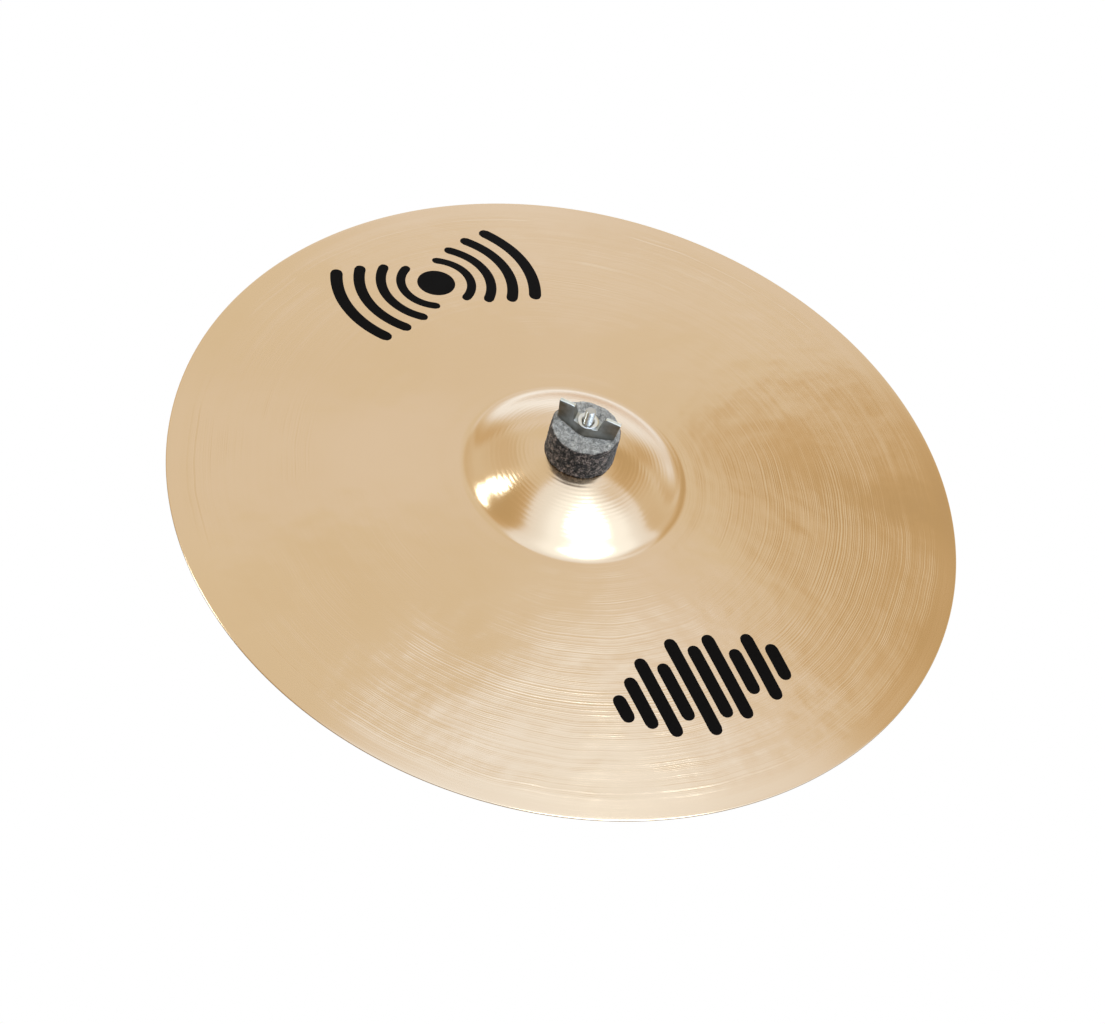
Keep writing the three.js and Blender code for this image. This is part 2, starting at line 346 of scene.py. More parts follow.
def bronze_material():
    """Polished bronze with lathe grooves, in patches, over a hammered bow."""
    material, tree, shader = new_material("lathed_bronze")
    where = object_coordinates(tree)
    r, _ = plan_radius(tree)
    wander = noise_texture(tree, 30.0, 1.0, 0.4, vector=where)
    wavy = plus(tree, r, times(tree, wander, 3.0))
    fine = noise_texture(tree, 1.0, 1.0, 0.4, w=times(tree, wavy, FINE_GROOVES), dimensions="1D")
    coarse = noise_texture(tree, 1.0, 2.0, 0.5, w=times(tree, wavy, COARSE_GROOVES), dimensions="1D")
    patches = noise_texture(tree, 22.0, 2.0, 0.5, vector=where)
    blows = noise_texture(tree, 95.0, 1.0, 0.4, vector=where)
    past_bell = map_range(tree, r, BOW_START - 4, BOW_START + 6)
    inside_rim = map_range(tree, r, RIM_RADIUS - 7, RIM_RADIUS - 15)
    on_bow = times(tree, past_bell, inside_rim)
    patchy = map_range(tree, patches, 0.35, 0.62, 0.25, 1.0)
    outwards = map_range(tree, r, 125.0, 165.0, 0.75, 1.45)
    grooves = times(tree, fine, on_bow, patchy, outwards)
    height = plus(tree, grooves, times(tree, coarse, 0.6), times(tree, blows, on_bow, 1.6))
    tree.links.new(bump(tree, height, 0.1 * MM), shader.inputs["Normal"])
    warm = noise_texture(tree, 9.0, 3.0, 0.5, vector=where)
    colour = colour_ramp(tree, warm, [(0.3, BRONZE_DARK), (0.7, BRONZE_LIGHT)])
    tree.links.new(colour, shader.inputs["Base Color"])
    rough = map_range(tree, patches, 0.2, 0.8, 0.13, 0.17)
    tree.links.new(rough, shader.inputs["Roughness"])
    shader.inputs["Metallic"].default_value = 1
    shader.inputs["Anisotropic"].default_value = 0.6
    shader.inputs["Anisotropic Rotation"].default_value = 0.25
    tangent = node(tree, "ShaderNodeTangent", direction_type="RADIAL", axis="Z")
    tree.links.new(tangent.outputs[0], shader.inputs["Tangent"])
    return material


INK_DARK, INK_LIGHT = (0.002, 0.0014, 0.0012), (0.004, 0.003, 0.0025)


def ink_material():
    """Matt black print with a fine grain."""
    material, tree, shader = new_material("black_print")
    grain = noise_texture(tree, 900.0, 3.0, 0.6, vector=object_coordinates(tree))
    colour = colour_ramp(tree, grain, [(0.3, INK_DARK), (0.7, INK_LIGHT)])
    tree.links.new(colour, shader.inputs["Base Color"])
    tree.links.new(map_range(tree, grain, 0.2, 0.8, 0.42, 0.55), shader.inputs["Roughness"])
    shader.inputs["Specular IOR Level"].default_value = 0.04
    tree.links.new(bump(tree, grain, 0.01 * MM), shader.inputs["Normal"])
    return material


def scaled(colour, factor):
    return tuple(c * factor for c in colour)


def felt_material(name, top_z, base, light):
    """Pressed wool felt with pale and dark flecks, and painted light: its flat end at top_z is painted pale
    as if lit, and its cut side dark as if in shade.
    """
    material, tree, shader = new_material(name)
    where = object_coordinates(tree)
    _, z = plan_radius(tree)
    flecks = noise_texture(tree, 1350.0, 4.0, 0.8, vector=where)
    clumps = noise_texture(tree, 420.0, 3.0, 0.6, vector=where)
    fibres = noise_texture(tree, 3200.0, 2.0, 0.5, vector=where)
    mixed = plus(tree, times(tree, flecks, 0.6), times(tree, clumps, 0.4))
    side = colour_ramp(tree, mixed, [
        (0.46, scaled(base, 0.2)), (0.505, base), (0.54, scaled(base, 7)), (0.60, scaled(base, 20)),
    ])
    end = colour_ramp(tree, mixed, [(0.38, scaled(light, 0.3)), (0.50, light), (0.64, scaled(light, 2.2))])
    # Painted light: the flat end is painted paler as if lit, and the cut side darker as if shaded.
    lit_end_mask = map_range(tree, z, (top_z - 0.9) * MM, (top_z - 0.25) * MM)
    tree.links.new(colour_mix(tree, lit_end_mask, side, end), shader.inputs["Base Color"])
    shader.inputs["Roughness"].default_value = 1
    shader.inputs["Specular IOR Level"].default_value = 0.1
    shader.inputs["Sheen Weight"].default_value = 0.25
    shader.inputs["Sheen Roughness"].default_value = 0.5
    rough = plus(tree, mixed, times(tree, fibres, 0.4))
    tree.links.new(bump(tree, rough, 0.6 * MM), shader.inputs["Normal"])
    return material


def metal_material(name, colour, roughness, spread, grain, grain_depth, dirt):
    """Plated or polished metal: grain is the scale of its fine texture, and dirt darkens it in clouds."""
    material, tree, shader = new_material(name)
    where = object_coordinates(tree)
    cloud = noise_texture(tree, 90.0, 3.0, 0.6, vector=where)
    fine = noise_texture(tree, grain, 3.0, 0.6, vector=where)
    clouded = colour_ramp(tree, cloud, [(0.3, scaled(colour, 1 - dirt)), (0.65, colour)])
    tree.links.new(clouded, shader.inputs["Base Color"])
    rough = map_range(tree, cloud, 0.25, 0.75, roughness - spread, roughness + spread)
    tree.links.new(rough, shader.inputs["Roughness"])
    shader.inputs["Metallic"].default_value = 1
    tree.links.new(bump(tree, fine, grain_depth), shader.inputs["Normal"])
    return material


# Wing nut colours with painted light: the sides are painted dark as in shade, and the up-facing faces on the
# raised wings bright as lit, which also stands for rubbing wear.
SIDE_SHADE_DARK, SIDE_SHADE_LIGHT = (0.20, 0.20, 0.185), (0.29, 0.29, 0.27)
LIT_AND_WORN_DARK, LIT_AND_WORN_LIGHT = (0.66, 0.67, 0.63), (0.86, 0.87, 0.83)
HIGHLIGHT_AND_WEAR_START, HIGHLIGHT_AND_WEAR_FULL = 6.5, 9.0


def sheen_and_wear_casting_material():
    """A nickelled casting with painted light: its sides are painted dark as in shade, and faces that face up
    on the raised wings are painted bright as lit, which also stands for wear from rubbing.
    """
    material, tree, shader = new_material("wing_nut_nickel")
    coords = node(tree, "ShaderNodeTexCoord")
    split = node(tree, "ShaderNodeSeparateXYZ")
    tree.links.new(coords.outputs["Normal"], split.inputs[0])
    cloud = noise_texture(tree, 260.0, 3.0, 0.6, vector=coords.outputs["Object"])
    # Up-facing faces, broken by clouds, take the painted highlight.
    up = plus(tree, split.outputs[2], times(tree, cloud, 0.16))
    place = node(tree, "ShaderNodeSeparateXYZ")
    tree.links.new(coords.outputs["Object"], place.inputs[0])
    # Only the raised wings, above these heights, get the painted highlight and the wear.
    raised = map_range(tree, place.outputs[2], HIGHLIGHT_AND_WEAR_START * MM, HIGHLIGHT_AND_WEAR_FULL * MM, 0.35, 1.0)
    lit_and_rubbed = times(tree, map_range(tree, up, 0.62, 0.86), raised)
    # Sides painted dark as in shade, and up-facing faces painted bright as lit and rubbed.
    shaded_sides = colour_ramp(tree, cloud, [(0.3, SIDE_SHADE_DARK), (0.7, SIDE_SHADE_LIGHT)])
    lit_and_worn = colour_ramp(tree, cloud, [(0.3, LIT_AND_WORN_DARK), (0.7, LIT_AND_WORN_LIGHT)])
    tree.links.new(colour_mix(tree, lit_and_rubbed, shaded_sides, lit_and_worn), shader.inputs["Base Color"])
    tree.links.new(map_range(tree, cloud, 0.2, 0.8, 0.30, 0.42), shader.inputs["Roughness"])
    shader.inputs["Metallic"].default_value = 1
    grain = noise_texture(tree, 900.0, 3.0, 0.6, vector=coords.outputs["Object"])
    tree.links.new(bump(tree, grain, 0.04 * MM), shader.inputs["Normal"])
    return material


def plastic_material(name, colour, roughness):
    """Moulded plastic or pressed fibre, with a fine speckle."""
    material, tree, shader = new_material(name)
    where = object_coordinates(tree)
    grain = noise_texture(tree, 1400.0, 3.0, 0.6, vector=where)
    speckled = colour_ramp(tree, grain, [(0.35, colour), (0.7, scaled(colour, 1.5))])
    tree.links.new(speckled, shader.inputs["Base Color"])
    rough = map_range(tree, grain, 0.2, 0.8, roughness - 0.08, roughness + 0.08)
    tree.links.new(rough, shader.inputs["Roughness"])
    tree.links.new(bump(tree, grain, 0.03 * MM), shader.inputs["Normal"])
    return material


# The felt's colours carry painted light: the cut side is painted dark as in shade, and the flat end pale as
# if lit.
FELT_SHADED_SIDE, FELT_LIT_END = (0.021, 0.0165, 0.0145), (0.31, 0.29, 0.265)

bronze = bronze_material()
ink = ink_material()
nickel = sheen_and_wear_casting_material()
bright = metal_material(
    "bright_nickel", (0.80, 0.80, 0.79), roughness=0.14, spread=0.03,
    grain=1500.0, grain_depth=0.01 * MM, dirt=0.05,
)
steel = metal_material(
    "zinc_plated_steel", (0.58, 0.57, 0.55), roughness=0.2, spread=0.05,
    grain=1200.0, grain_depth=0.01 * MM, dirt=0.08,
)
chrome = metal_material(
    "chrome", (0.60, 0.585, 0.56), roughness=0.12, spread=0.03,
    grain=800.0, grain_depth=0.004 * MM, dirt=0.03,
)
casting = metal_material(
    "satin_chrome_casting", (0.50, 0.49, 0.47), roughness=0.27, spread=0.05,
    grain=500.0, grain_depth=0.03 * MM, dirt=0.06,
)
nylon = plastic_material("black_nylon", (0.012, 0.012, 0.013), 0.45)
fibre = plastic_material("friction_fibre", (0.20, 0.055, 0.025), 0.75)

# ---------------------------------------------------------------- cymbal
SEGMENTS = 320
HOLE_EDGE = 0.2
RIM_EDGE = 0.1


def cymbal():
    """The plate as rings of vertices: out over the top, round the rim, in underneath and up the hole."""
    angles = np.linspace(0, 2 * math.pi, SEGMENTS, endpoint=False)
    cos, sin = np.cos(angles), np.sin(angles)
    top_radii = np.concatenate([
        [HOLE_RADIUS + HOLE_EDGE],
        np.arange(7.2, 20, 1.4),
        np.arange(20, DOME_END, 0.46),
        np.arange(DOME_END, BOW_START, 0.9),
        np.arange(BOW_START, RIM_RADIUS - 1.2, 2.4),
        [RIM_RADIUS - 0.5],
    ])
    under_radii = np.concatenate([
        np.arange(RIM_RADIUS - 1.2, BOW_START, -3.4),
        np.arange(BOW_START, DOME_END, -1.5),
        np.arange(DOME_END, 8, -2.2),
        [HOLE_RADIUS + HOLE_EDGE],
    ])
    rows = []
    for r in top_radii:
        x, y = r * cos, r * sin
        rows.append(np.stack([x, y, surface_top(x, y)], 1))
    half = RIM_THICKNESS / 2
    for inward, rise in ((RIM_EDGE, half), (0, half - 0.08), (0, 0.08 - half), (RIM_EDGE, -half)):
        r = RIM_RADIUS - inward
        rows.append(np.stack([r * cos, r * sin, np.full_like(cos, rim_z + half + rise)], 1))
    for r in under_radii:
        x, y = r * cos, r * sin
        z = rim_z + section_top(r) - section_thickness(r) + unevenness(x, y)
        rows.append(np.stack([x, y, np.broadcast_to(z, cos.shape)], 1))
    hole_top = rim_z + float(section_top(HOLE_RADIUS))
    for drop in (BELL_THICKNESS - HOLE_EDGE, HOLE_EDGE):
        z = np.full_like(cos, hole_top - drop)
        rows.append(np.stack([HOLE_RADIUS * cos, HOLE_RADIUS * sin, z], 1))
    faces = ring_faces(len(rows), SEGMENTS, True)
    obj = new_object("cymbal_bronze", np.concatenate(rows), faces, bronze)
    face_outwards(obj)
    obj.data.set_sharp_from_angle(angle=math.radians(50))
    return obj


plate = cymbal()
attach(plate, "cymbal")
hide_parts("cymbal")

# ---------------------------------------------------------------- printed marks
INK_HEIGHT = 0.05
INK_SUNK = 0.12
INK_CELL = 1.6
# Where each mark lies, as an angle in degrees and a radius, and how far it is turned.
FAR_PLACE, FAR_TURN = (130.6, 164), 40.6
NEAR_PLACE, NEAR_TURN = (-48, 153), 41


def patch(grid):
    """A closed skin of ink from a grid of plan points (rows, columns, 2), laid on the cymbal."""
    rows, columns, _ = grid.shape
    x, y = grid[..., 0], grid[..., 1]
    top = surface_top(x, y)
    upper = np.stack([x, y, top + INK_HEIGHT], -1).reshape(-1, 3)
    lower = np.stack([x, y, top - INK_SUNK], -1).reshape(-1, 3)
    n = rows * columns

    def at(i, j):
        return i * columns + j

    faces = []
    for i in range(rows - 1):
        for j in range(columns - 1):
            quad = (at(i, j), at(i, j + 1), at(i + 1, j + 1), at(i + 1, j))
            faces.append(quad)
            faces.append(tuple(n + k for k in reversed(quad)))
    border = [at(0, j) for j in range(columns)] + [at(i, columns - 1) for i in range(1, rows)]
    border += [at(rows - 1, j) for j in range(columns - 2, -1, -1)]
    border += [at(i, 0) for i in range(rows - 2, 0, -1)]
    for a, b in zip(border, border[1:] + border[:1]):
        faces.append((b, a, n + a, n + b))
    return np.concatenate([upper, lower]), faces


def steps(length):
    return max(3, int(length / INK_CELL) + 2)


def bar(x0, x1, y0, y1):
    """A bar with round ends along y, as a grid."""
    across = np.linspace(-1, 1, steps(x1 - x0) + 6)
    along = np.linspace(0, 1, steps(y1 - y0) + 2)
    half = (x1 - x0) / 2
    cap = half * np.sqrt(np.maximum(0, 1 - across**2))
    low, high = y0 + half - cap, y1 - half + cap
    x = (x0 + x1) / 2 + half * across
    return np.stack([np.broadcast_to(x, (len(along), len(x))), low + (high - low) * along[:, None]], -1)


def arc(radius, width, start, end):
    """A band along an arc, in degrees, with round ends, as a grid."""
    a0, a1 = math.radians(start), math.radians(end)
    across = np.linspace(-1, 1, steps(width) + 4)
    along = np.linspace(0, 1, steps(radius * abs(a1 - a0)))
    cap = np.sqrt(np.maximum(0, 1 - across**2)) * (width / 2) / radius
    low, high = a0 - cap, a1 + cap
    angle = low + (high - low) * along[:, None]
    r = radius + width / 2 * across
    return np.stack([r * np.cos(angle), r * np.sin(angle)], -1)


def disc(radius):
    """A filled circle as a square grid drawn out to the circle."""
    t = np.linspace(-1, 1, steps(2 * radius))
    u, v = np.meshgrid(t, t)
    return np.stack([radius * u * np.sqrt(1 - v**2 / 2), radius * v * np.sqrt(1 - u**2 / 2)], -1)


def printed_mark(name, grids, centre, turn):
    """Joins grids of plan points, drawn about (0, 0), into one printed mark on the cymbal."""
    cos, sin = math.cos(turn), math.sin(turn)
    vertices, faces, base = [], [], 0
    for grid in grids:
        x = centre[0] + grid[..., 0] * cos - grid[..., 1] * sin
        y = centre[1] + grid[..., 0] * sin + grid[..., 1] * cos
        v, f = patch(np.stack([x, y], -1))
        vertices.append(v)
        faces += [tuple(k + base for k in face) for face in f]
        base += len(v)
    obj = new_object(name, np.concatenate(vertices), faces, ink)
    face_outwards(obj)
    obj.data.set_sharp_from_angle(angle=math.radians(40))
    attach(obj, "cymbal")


def plan_point(degrees, radius):
    angle = math.radians(degrees)
    return radius * math.cos(angle), radius * math.sin(angle)


# A disc with ripples on either side of it: each arc's radius, width and half angle.
DISC_RADIUS = 11
ARCS = ((20.5, 5.4, 60), (32, 6.0, 47), (44.5, 6.6, 38), (57.5, 7.2, 31))

ripples = [disc(DISC_RADIUS)]
for radius, width, half_angle in ARCS:
    for side in (0, 180):
        ripples.append(arc(radius, width, side - half_angle, side + half_angle))
printed_mark("printed_mark_far", ripples, plan_point(*FAR_PLACE), math.radians(FAR_TURN))

# A row of bars of different lengths.
BAR_LENGTHS = (18, 34, 52, 38, 64, 48, 56, 30, 44, 24)
BAR_STEP, BAR_WIDTH = 11.2, 8.0

bars = []
for i, length in enumerate(BAR_LENGTHS):
    x = BAR_STEP * (i - (len(BAR_LENGTHS) - 1) / 2)
    bars.append(bar(x - BAR_WIDTH / 2, x + BAR_WIDTH / 2, -length / 2, length / 2))
printed_mark("printed_mark_near", bars, plan_point(*NEAR_PLACE), math.radians(NEAR_TURN))

# ---------------------------------------------------------------- felts
FELT_SEGMENTS = 200
FELT_RINGS = 26
FELT_SIDE_RINGS = 30
FELT_HOLE = 5.3
FELT_GAP = 0.3
# A height that no felt reaches, for the felt whose ends are not painted pale as lit and stay as dark as its
# side, which is painted as in shade.
NO_LIT_END = 1000.0
# Lumps of the wool: how long and how high each size of wave is.
WOOL_WAVES = ((9.0, 0.10), (4.0, 0.10), (1.8, 0.09), (1.1, 0.08))
WAVES_PER_SIZE = 5
WOOL_ROUGHNESS = 0.05
WOOL_RISE, WOOL_DROP = 0.12, 0.5


def felt_piece(name, outer, hole, low, high, top_edge, low_edge, material):
    """A felt washer: low and high give the height of its lower and upper face at each radius."""
    side_low, side_high = low(outer) + low_edge, high(outer) - top_edge
    profile = [(r, low(r)) for r in np.linspace(hole, outer - 0.6, FELT_RINGS)]
    profile += [(outer - 0.18 * low_edge, low(outer) + 0.35 * low_edge)]
    profile += [(outer, z) for z in np.linspace(side_low, side_high, FELT_SIDE_RINGS)]
    for a in np.radians([25, 50, 75]):
        profile += [(outer - top_edge * (1 - math.cos(a)), side_high + top_edge * math.sin(a))]
    profile += [(r, high(r)) for r in np.linspace(outer - top_edge, hole, FELT_RINGS)]
    obj = lathe(name, profile, FELT_SEGMENTS, material=material, sharp=180)
    shaggy(obj, hole)
    return obj


def shaggy(obj, hole):
    """Small lumps and dents of pressed wool, outside the bore."""
    n = len(obj.data.vertices)
    co = np.empty(n * 3)
    obj.data.vertices.foreach_get("co", co)
    co = co.reshape(-1, 3) / MM
    normals = np.empty(n * 3)
    obj.data.vertices.foreach_get("normal", normals)
    normals = normals.reshape(-1, 3)
    local = np.random.default_rng(7)
    height = np.zeros(n)
    for length, size in WOOL_WAVES:
        for _ in range(WAVES_PER_SIZE):
            d = local.normal(size=3)
            d /= np.linalg.norm(d)
            height += size * 0.6 * np.sin(co @ d * 2 * math.pi / length + local.uniform(0, 6.3))
    height += local.normal(size=n) * WOOL_ROUGHNESS
    outside = smooth((np.hypot(co[:, 0], co[:, 1]) - hole - 1) / 2)
    co += normals * np.clip((height - WOOL_RISE) * outside, -WOOL_DROP, WOOL_RISE)[:, None]
    obj.data.vertices.foreach_set("co", (co * MM).ravel())
    obj.data.update()


upper_low, upper_high = box_mm("upper_felt")
lower_low, lower_high = box_mm("lower_felt")


def over_bell(r):
    return rim_z + float(section_top(r)) + FELT_GAP


def under_bell(r):
    return rim_z + float(section_top(r)) - BELL_THICKNESS - FELT_GAP


wool_upper = felt_material("wool_felt_upper", upper_high.z, FELT_SHADED_SIDE, FELT_LIT_END)
# The lower felt under the bell is painted dark all over, as in shade.
wool_lower = felt_material("wool_felt_lower", NO_LIT_END, FELT_SHADED_SIDE, FELT_LIT_END)
upper_felt = felt_piece(
    "upper_felt_wool", upper_high.x, FELT_HOLE, low=over_bell, high=lambda r: upper_high.z,
    top_edge=1.5, low_edge=0.5, material=wool_upper,
)
lower_felt = felt_piece(
    "lower_felt_wool", lower_high.x, FELT_HOLE, low=lambda r: lower_low.z, high=under_bell,
    top_edge=0.5, low_edge=0.8, material=wool_lower,
)
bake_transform(upper_felt)
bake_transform(lower_felt)
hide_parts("upper_felt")
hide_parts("lower_felt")

# ---------------------------------------------------------------- wing nuts
NUT_HALF_LENGTH = 17.2
NUT_END_HALF_WIDTH = 1.5
NUT_MIDDLE_HALF_WIDTH = 8.4
NUT_HEIGHT = 12.8
NUT_TOP_HALF_LENGTH = 18.75
NUT_TOP_HALF_WIDTH = 1.25
NUT_LEAN = 1.15
HUB_RADIUS = 6.1
HUB_HEIGHT = 5.5
HUB_FOOT = HUB_RADIUS - 1.0
BORE = 3.3
# The nut from the side: its height at each distance from its middle.
NUT_SIDE = [(x, 4.7) for x in (0.0, 2.0, 4.0, 6.0)]
NUT_SIDE += [
    (7.0, 4.8), (7.35, 5.2), (7.6, 6.2), (7.9, 8.0), (8.2, 9.8), (8.45, 11.3), (8.7, 12.3), (9.0, 12.68),
]
NUT_SIDE += [(x, NUT_HEIGHT) for x in (9.4, 11.0, 13.0, 15.0, 16.4, NUT_HALF_LENGTH)]
HUB_PROFILE = [
    (BORE, 0.6), (BORE + 0.5, 0.1),
    (HUB_FOOT - 0.2, 0.1), (HUB_FOOT, 0.3), (HUB_FOOT, 4.4),
    (HUB_RADIUS - 0.1, 4.6), (HUB_RADIUS, 4.8), (HUB_RADIUS, HUB_HEIGHT - 0.35),
    (HUB_RADIUS - 0.1, HUB_HEIGHT - 0.1), (HUB_RADIUS - 0.35, HUB_HEIGHT),
    (BORE + 0.75, HUB_HEIGHT), (BORE + 0.6, HUB_HEIGHT - 0.05), (BORE, HUB_HEIGHT - 0.7),
]


def nut_section(x, height):
    """A loop of vertices across the nut at x, from one foot over the top to the other."""
    t = abs(x) / NUT_HALF_LENGTH
    base = NUT_MIDDLE_HALF_WIDTH + (NUT_END_HALF_WIDTH - NUT_MIDDLE_HALF_WIDTH) * t
    base -= 0.7 * max(0.0, 1 - abs(x) / 3.0) ** 2
    half = []
    for z in np.concatenate([[0.0, 0.35], np.linspace(1.2, height - 0.45, 7), [height - 0.12, height]]):
        lean = 1 - (1 - z / NUT_HEIGHT) ** NUT_LEAN
        y = base + (NUT_TOP_HALF_WIDTH - base) * lean
        if z == 0:
            y -= 0.3
        if z > height - 0.2:
            y -= 0.12 if z < height else 0.42
        half.append((max(y, 0.3), z))
    flare = NUT_TOP_HALF_LENGTH / NUT_HALF_LENGTH
    loop = half + [(-y, z) for y, z in reversed(half)]
    return [(x * (1 + (flare - 1) * z / NUT_HEIGHT), y, z) for y, z in loop]


def nut_wings(name):
    """The casting: sections that lean in from a lozenge base to thin wings, with room for the hub."""
    stations = [(-x, height) for x, height in reversed(NUT_SIDE[1:])] + NUT_SIDE
    rows = [nut_section(x, height) for x, height in stations]
    n = len(rows[0])
    vertices = [v for row in rows for v in row]
    faces = ring_faces(len(rows), n, False)
    faces += [tuple(range(n)), tuple((len(rows) - 1) * n + k for k in reversed(range(n)))]
    wings = new_object(name + "_wings", vertices, faces, nickel)
    face_outwards(wings)
    room = HUB_RADIUS - 0.9
    cut(wings, lathe(name + "_cutter", [(0, -5), (room, -5), (room, 30), (0, 30)], 64))
    soften(wings, 0.25, 35)
    return wings


def wing_nut(name, place):
    """A cast wing nut with its hub, put in its place on the body and for the CAD node of the same name."""
    wings = nut_wings(name)
    hub = lathe(name + "_hub", HUB_PROFILE, 96, material=bright)
    for piece in (wings, hub):
        piece.matrix_world = place
        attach(piece, name)
    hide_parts(name)


def cut(obj, cutter):
    """Takes the cutter out of obj and removes the cutter."""
    modifier = obj.modifiers.new("cut", "BOOLEAN")
    modifier.operation = "DIFFERENCE"
    modifier.solver = "EXACT"
    modifier.object = cutter
    apply_modifiers(obj)
    bpy.data.objects.remove(cutter, do_unlink=True)


def apply_modifiers(obj):
    graph = bpy.context.evaluated_depsgraph_get()
    graph.update()
    mesh = bpy.data.meshes.new_from_object(obj.evaluated_get(graph))
    old = obj.data
    obj.modifiers.clear()
    obj.data = mesh
    mesh.name = obj.name
    bpy.data.meshes.remove(old)


def soften(obj, width, angle):
    """Rounds the sharp edges and smooths the rest."""
    modifier = obj.modifiers.new("edges", "BEVEL")
    modifier.width = width * MM
    modifier.segments = 2
    modifier.limit_method = "ANGLE"
    modifier.angle_limit = math.radians(angle)
    modifier.use_clamp_overlap = True
    apply_modifiers(obj)
    obj.data.polygons.foreach_set("use_smooth", [True] * len(obj.data.polygons))
    obj.data.set_sharp_from_angle(angle=math.radians(angle))


NUT_TURN = math.radians(-10)
nut_low, _ = box_mm("wing_nut")
upright = Matrix.Rotation(NUT_TURN, 4, "Z")
wing_nut("wing_nut", Matrix.Translation((0, 0, nut_low.z * MM)) @ upright)
side_low, side_high = box_mm("pivot_wing_nut")
pivot_z = (side_low.z + side_high.z) / 2
sideways = Matrix.Rotation(-math.pi / 2, 4, "X")
wing_nut("pivot_wing_nut", Matrix.Translation((0, side_low.y * MM, pivot_z * MM)) @ sideways)

# ---------------------------------------------------------------- threads
THREAD_PITCH = 1.0
THREAD_DEPTH = 0.58
THREAD_RUN_IN = 1.5
THREAD_SEGMENTS = 40
LEVELS_PER_TURN = 8


def thread_depth(phase):
    """0 on the crest and 1 at the root of the thread, for a phase in turns."""
    t = np.abs((phase % 1.0) * 2 - 1)
    return smooth((t - 0.12) / 0.76)


def threaded_rod(name, radius, low, high, lower_profile, chamfer, material):
    """A rod along z whose length from low to high carries a thread; lower_profile comes below it."""
    angles = np.linspace(0, 2 * math.pi, THREAD_SEGMENTS, endpoint=False)
    levels = np.arange(low, high + 1e-6, THREAD_PITCH / LEVELS_PER_TURN)
    rows = [(np.full(THREAD_SEGMENTS, r), z) for r, z in lower_profile]
    for z in levels:
        fade = min(1.0, (z - low) / THREAD_RUN_IN)
        cap = radius - max(0.0, chamfer - (high - z))
        r = radius - THREAD_DEPTH * fade * thread_depth(z / THREAD_PITCH - angles / (2 * math.pi))
        rows.append((np.minimum(r, cap), z))
    rows.append((np.full(THREAD_SEGMENTS, radius - THREAD_DEPTH - chamfer * 0.5), high))
    vertices = [(r[j] * math.cos(a), r[j] * math.sin(a), z) for r, z in rows for j, a in enumerate(angles)]
    first, last = len(vertices), len(vertices) + 1
    vertices += [(0, 0, lower_profile[0][1]), (0, 0, high)]
    faces = ring_faces(len(rows), THREAD_SEGMENTS, False, first, last)
    obj = new_object(name, vertices, faces, material)
    face_outwards(obj)
    obj.data.set_sharp_from_angle(angle=math.radians(50))
    return obj


SHANK_RADIUS = 4.0
THREAD_RADIUS = 2.97
ROD_CHAMFER = 0.5
rod_low, rod_high = box_mm("cymbal_rod")
seat_low, _ = box_mm("seat_washer")
shoulder = seat_low.z - 0.15
shank = [
    (SHANK_RADIUS - 0.4, rod_low.z), (SHANK_RADIUS, rod_low.z + 0.4),
    (SHANK_RADIUS, shoulder - 0.3), (SHANK_RADIUS - 0.3, shoulder), (THREAD_RADIUS, shoulder),
]
thread_low, thread_high = shoulder + 0.1, rod_high.z - 0.02
rod = threaded_rod(
    "cymbal_rod_threaded", THREAD_RADIUS, thread_low, thread_high, shank, ROD_CHAMFER, steel
)
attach(rod, "tilter_head")
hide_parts("cymbal_rod")

# ---------------------------------------------------------------- the rest of the hardware
def refined(node_name, name, body, material, bevel):
    """A copy of a CAD node with clean flat faces, rounded edges and smooth walls."""
    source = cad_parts[node_name]
    mesh = source.data.copy()
    mesh.name = name
    bm = bmesh.new()
    bm.from_mesh(mesh)
    bm.transform(source.matrix_world)
    bmesh.ops.remove_doubles(bm, verts=bm.verts, dist=1e-6)
    bmesh.ops.dissolve_limit(bm, angle_limit=math.radians(1), verts=bm.verts, edges=bm.edges)
    bmesh.ops.recalc_face_normals(bm, faces=bm.faces)
    bm.to_mesh(mesh)
    bm.free()
    mesh.materials.clear()
    mesh.materials.append(material)
    obj = bpy.data.objects.new(name, mesh)
    bpy.context.scene.collection.objects.link(obj)
    soften(obj, bevel, 30)
    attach(obj, body)
    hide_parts(node_name)


for node_name, body, material, slot, bevel in (
    ("tilter_base", "tilter_base", casting, "casting", 0.8),
    ("tilter_head", "tilter_head", casting, "casting", 0.6),
    ("stem", "tilter_base", chrome, "stem_steel", 0.3),
    ("stem_pin", "tilter_base", steel, "rod_steel", 0.12),
    ("rod_pin", "tilter_head", steel, "rod_steel", 0.12),
    ("seat_nut", "tilter_head", steel, "rod_steel", 0.35),
    ("seat_washer", "tilter_head", chrome, "washer_steel", 0.35),
    ("friction_disc_front", "tilter_head", fibre, "fibre", 0.12),
    ("friction_disc_rear", "tilter_head", fibre, "fibre", 0.12),
    ("sleeve", "felt_stack", nylon, "sleeve", 0.2),
    ("spring_washer", "pivot_washers", steel, "washer_steel", 0.12),
    ("pivot_washer", "pivot_washers", steel, "washer_steel", 0.15),
    ("pivot_bolt", "tilter_base", steel, "rod_steel", 0.3),
):
    refined(node_name, node_name + "_finished", body, material, bevel)

# ---------------------------------------------------------------- floor
FLOOR_DROP = 6.0
FLOOR_HALF = 60.0
FLOOR_FADE_START, FLOOR_FADE_END = 12.0, 25.0
FLOOR_BELOW, FLOOR_AWAY = (0.42, 0.42, 0.42), (1.02, 1.11, 1.22)
WHITE = (1, 1, 1, 1)


